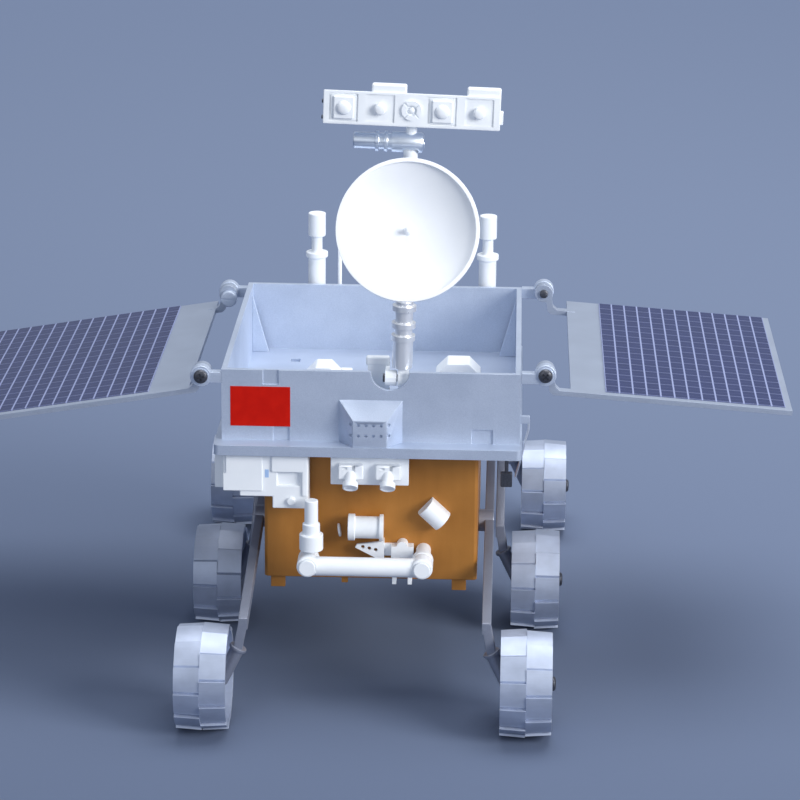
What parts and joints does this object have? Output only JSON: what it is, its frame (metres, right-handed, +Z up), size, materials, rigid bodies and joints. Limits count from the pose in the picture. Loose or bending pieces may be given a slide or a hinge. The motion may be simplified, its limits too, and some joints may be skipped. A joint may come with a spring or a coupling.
{
  "type": "scale model of a six-wheel planetary rover",
  "caption": "Desk model of a wheeled planetary rover with folding solar wings, an open tray, a folding mast with dish and camera head, and a jointed sampling arm.",
  "frame": {"origin": "Centre of the bounding box, on the ground under the wheels.", "axes": "+X to the right seen from the front and along the span of the wings, +Y from front to back, +Z up."},
  "size_m": [0.2472, 0.201, 0.1761],
  "materials": {
    "tray_silver": "satin bluish silver paint",
    "wing_silver": "satin bluish silver paint",
    "cell_indigo": "printed sheet, semi-gloss",
    "screw_dark": "dark zinc",
    "box_ochre": "satin ochre paint",
    "wheel_silver": "metallic silver paint",
    "arm_silver": "satin bluish silver paint",
    "white_plastic": "smooth white",
    "gunmetal": "turned metal, dark nickel"
  },
  "bodies": {
    "rover_body": {"axle_screws": "screw_dark", "bogie_left": "arm_silver", "bogie_right": "arm_silver", "box_bracket": "white_plastic", "box_cube": "white_plastic", "box_drum": "white_plastic", "box_feet": "box_ochre", "camera_plate": "white_plastic", "corner_ribs": "tray_silver", "deck_blocks": "white_plastic", "deck_plate": "tray_silver", "equipment_box": "box_ochre", "front_cameras": "white_plastic", "hinge_bars": "tray_silver", "hinge_screws": "screw_dark", "instrument_box": "white_plastic", "mast_foot": "white_plastic", "mast_pin_head": "gunmetal", "rear_posts": "white_plastic", "rocker_left": "arm_silver", "rocker_right": "arm_silver", "sample_shoulder": "white_plastic", "shoulder_cap": "white_plastic", "vent_housing": "tray_silver", "wall_back": "tray_silver", "wall_front": "tray_silver", "wall_left": "tray_silver", "wall_right": "tray_silver", "whip_rod": "white_plastic"},
    "wheel_front_right": {"wheel_front_right": "wheel_silver"},
    "wheel_front_left": {"wheel_front_left": "wheel_silver"},
    "wheel_mid_right": {"wheel_mid_right": "wheel_silver"},
    "wheel_mid_left": {"wheel_mid_left": "wheel_silver"},
    "wheel_rear_right": {"wheel_rear_right": "wheel_silver"},
    "wheel_rear_left": {"wheel_rear_left": "wheel_silver"},
    "wing_right": {"wing_right": "wing_silver", "cells_right": "cell_indigo"},
    "wing_left": {"wing_left": "wing_silver", "cells_left": "cell_indigo"},
    "mast": {"mast_knuckle": "white_plastic", "mast_lower": "gunmetal", "mast_upper": "white_plastic", "tilt_motor": "gunmetal", "dish_yoke": "white_plastic"},
    "dish": {"dish": "white_plastic", "dish_feed": "white_plastic"},
    "camera_head": {"head_sleeve": "gunmetal", "head_neck": "white_plastic", "head_bar": "white_plastic", "head_lenses": "white_plastic", "head_ring": "white_plastic"},
    "sample_link": {"sample_link": "white_plastic"},
    "sample_upright": {"sample_upright": "white_plastic", "elbow_cap": "white_plastic"}
  },
  "joints": [
    {"name": "wheel_front_right_turn", "type": "hinge", "parent": "rover_body", "child": "wheel_front_right", "pos_m": [0.05097, -0.0855, 0.015], "axis": [1, 0, 0], "continuous": true},
    {"name": "wheel_front_left_turn", "type": "hinge", "parent": "rover_body", "child": "wheel_front_left", "pos_m": [-0.03803, -0.0855, 0.015], "axis": [1, 0, 0], "continuous": true},
    {"name": "wheel_mid_right_turn", "type": "hinge", "parent": "rover_body", "child": "wheel_mid_right", "pos_m": [0.05367, -0.0025, 0.015], "axis": [1, 0, 0], "continuous": true},
    {"name": "wheel_mid_left_turn", "type": "hinge", "parent": "rover_body", "child": "wheel_mid_left", "pos_m": [-0.04073, -0.0025, 0.015], "axis": [1, 0, 0], "continuous": true},
    {"name": "wheel_rear_right_turn", "type": "hinge", "parent": "rover_body", "child": "wheel_rear_right", "pos_m": [0.05667, 0.0855, 0.015], "axis": [1, 0, 0], "continuous": true},
    {"name": "wheel_rear_left_turn", "type": "hinge", "parent": "rover_body", "child": "wheel_rear_left", "pos_m": [-0.04373, 0.0855, 0.015], "axis": [1, 0, 0], "continuous": true},
    {"name": "wing_right_fold", "type": "hinge", "parent": "rover_body", "child": "wing_right", "pos_m": [0.05477, -0.011, 0.095], "axis": [0, -1, 0], "range_deg": [-10, 98]},
    {"name": "wing_left_fold", "type": "hinge", "parent": "rover_body", "child": "wing_left", "pos_m": [-0.04083, -0.011, 0.093], "axis": [0, 1, 0], "range_deg": [-10, 103]},
    {"name": "mast_fold", "type": "hinge", "parent": "rover_body", "child": "mast", "pos_m": [0.01532, -0.0531, 0.0923], "axis": [-1, 0, 0], "range_deg": [0, 90]},
    {"name": "dish_tilt", "type": "hinge", "parent": "mast", "child": "dish", "pos_m": [0.01656, -0.05987, 0.1358], "axis": [-0.9996, 0, 0.0297], "range_deg": [-20, 12]},
    {"name": "head_tilt", "type": "hinge", "parent": "mast", "child": "camera_head", "pos_m": [0.01681, -0.0531, 0.15937], "axis": [-0.9996, 0, 0.0297], "range_deg": [-25, 25]},
    {"name": "sample_shoulder_turn", "type": "hinge", "parent": "rover_body", "child": "sample_link", "pos_m": [0.02147, -0.0655, 0.0412], "axis": [0, -1, 0], "range_deg": [0, 30]},
    {"name": "sample_elbow_turn", "type": "hinge", "parent": "sample_link", "child": "sample_upright", "pos_m": [-0.01053, -0.0655, 0.0412], "axis": [0, -1, 0], "range_deg": [-20, 30]}
  ]
}
